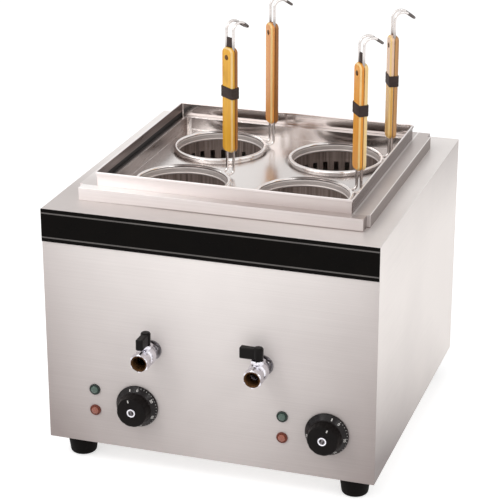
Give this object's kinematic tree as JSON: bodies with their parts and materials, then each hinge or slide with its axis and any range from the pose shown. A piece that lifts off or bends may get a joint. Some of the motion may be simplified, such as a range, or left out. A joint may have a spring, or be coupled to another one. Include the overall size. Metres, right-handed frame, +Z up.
{
  "type": "countertop pasta cooker",
  "caption": "Countertop pasta cooker: stainless casing, heated water tanks with drain taps, thermostat knobs, and a lift-out tray of strainer baskets with wooden handles.",
  "frame": {"origin": "on the floor below the middle of the whole cooker's bounding box", "axes": "+Z up, front with the knobs and taps towards -Y, +X to the right as seen from the front"},
  "size_m": [0.48, 0.548, 0.609],
  "materials": {
    "stainless": "fine brushed",
    "tank_steel": "satin",
    "tray_steel": "bright satin",
    "basket_steel": "polished",
    "cup_steel": "polished, slotted",
    "band_black": "satin gloss",
    "stripe_grey": "satin",
    "rubber_black": "matte",
    "fastener_steel": "bright zinc",
    "plastic_black": "fine grain",
    "knob_black": "semi-matte moulded",
    "lever_black": "dipped vinyl",
    "plastic_ivory": "moulded",
    "tap_chrome": "polished plating",
    "brass": "machined",
    "heater_sheath": "heat-darkened",
    "lamp_bezel": "moulded",
    "lens_green": "translucent",
    "lens_amber": "translucent",
    "wood": "oiled beech"
  },
  "bodies": {
    "cabinet": {"base_pan": "stainless", "front_panel": "stainless", "left_side_panel": "stainless", "right_side_panel": "stainless", "rear_panel": "stainless", "top_deck": "stainless", "step_frame": "stainless", "splash_rim": "stainless", "fascia_band": "band_black", "fascia_stripes": "stripe_grey", "rubber_feet": "rubber_black", "foot_screws": "fastener_steel", "rear_screws": "fastener_steel", "cable_gland": "plastic_black", "terminal_block": "plastic_ivory", "left_tank": "tank_steel", "right_tank": "tank_steel", "tank_divider_cap": "tank_steel", "left_heater": "heater_sheath", "right_heater": "heater_sheath", "heater_nuts": "brass", "temperature_sensors": "brass", "thermostats": "plastic_ivory", "lamp_bezels": "lamp_bezel", "green_lenses": "lens_green", "amber_lenses": "lens_amber", "drain_pipes": "tank_steel", "tap_nuts": "tap_chrome", "left_tap_body": "tap_chrome", "right_tap_body": "tap_chrome"},
    "tray": {"basket_tray": "tray_steel"},
    "left_knob": {"left_knob": "knob_black", "left_shaft": "fastener_steel", "left_knob_cap": "tap_chrome"},
    "left_tap_lever": {"left_tap_ball": "tap_chrome", "left_tap_lever": "lever_black"},
    "right_knob": {"right_knob": "knob_black", "right_shaft": "fastener_steel", "right_knob_cap": "tap_chrome"},
    "right_tap_lever": {"right_tap_ball": "tap_chrome", "right_tap_lever": "lever_black"},
    "front_left_basket": {"front_left_basket_frame": "basket_steel", "front_left_basket_cup": "cup_steel", "front_left_grip": "wood", "front_left_rivet": "fastener_steel", "front_left_wrap": "rubber_black"},
    "rear_left_basket": {"rear_left_basket_frame": "basket_steel", "rear_left_basket_cup": "cup_steel", "rear_left_grip": "wood", "rear_left_rivet": "fastener_steel"},
    "front_right_basket": {"front_right_basket_frame": "basket_steel", "front_right_basket_cup": "cup_steel", "front_right_grip": "wood", "front_right_rivet": "fastener_steel", "front_right_wrap": "rubber_black"},
    "rear_right_basket": {"rear_right_basket_frame": "basket_steel", "rear_right_basket_cup": "cup_steel", "rear_right_grip": "wood", "rear_right_rivet": "fastener_steel", "rear_right_wrap": "rubber_black"}
  },
  "joints": [
    {"name": "left_knob_turn", "type": "hinge", "parent": "cabinet", "child": "left_knob", "pos_m": [-0.104, -0.224, 0.1025], "axis": [0, 1, 0], "range_deg": [0, 270]},
    {"name": "right_knob_turn", "type": "hinge", "parent": "cabinet", "child": "right_knob", "pos_m": [0.1725, -0.224, 0.1025], "axis": [0, 1, 0], "range_deg": [-36, 234]},
    {"name": "left_tap_turn", "type": "hinge", "parent": "cabinet", "child": "left_tap_lever", "pos_m": [-0.081, -0.246, 0.192], "axis": [0, 0, 1], "range_deg": [-90, 0]},
    {"name": "right_tap_turn", "type": "hinge", "parent": "cabinet", "child": "right_tap_lever", "pos_m": [0.081, -0.246, 0.192], "axis": [0, 0, 1], "range_deg": [0, 90]},
    {"name": "tray_lift", "type": "slide", "parent": "cabinet", "child": "tray", "axis": [0, 0, 1], "range_m": [0, 0.08]},
    {"name": "front_left_basket_lift", "type": "slide", "parent": "tray", "child": "front_left_basket", "axis": [0, 0, 1], "range_m": [0, 0.2]},
    {"name": "rear_left_basket_lift", "type": "slide", "parent": "tray", "child": "rear_left_basket", "axis": [0, 0, 1], "range_m": [0, 0.2]},
    {"name": "front_right_basket_lift", "type": "slide", "parent": "tray", "child": "front_right_basket", "axis": [0, 0, 1], "range_m": [0, 0.2]},
    {"name": "rear_right_basket_lift", "type": "slide", "parent": "tray", "child": "rear_right_basket", "axis": [0, 0, 1], "range_m": [0, 0.2]}
  ]
}
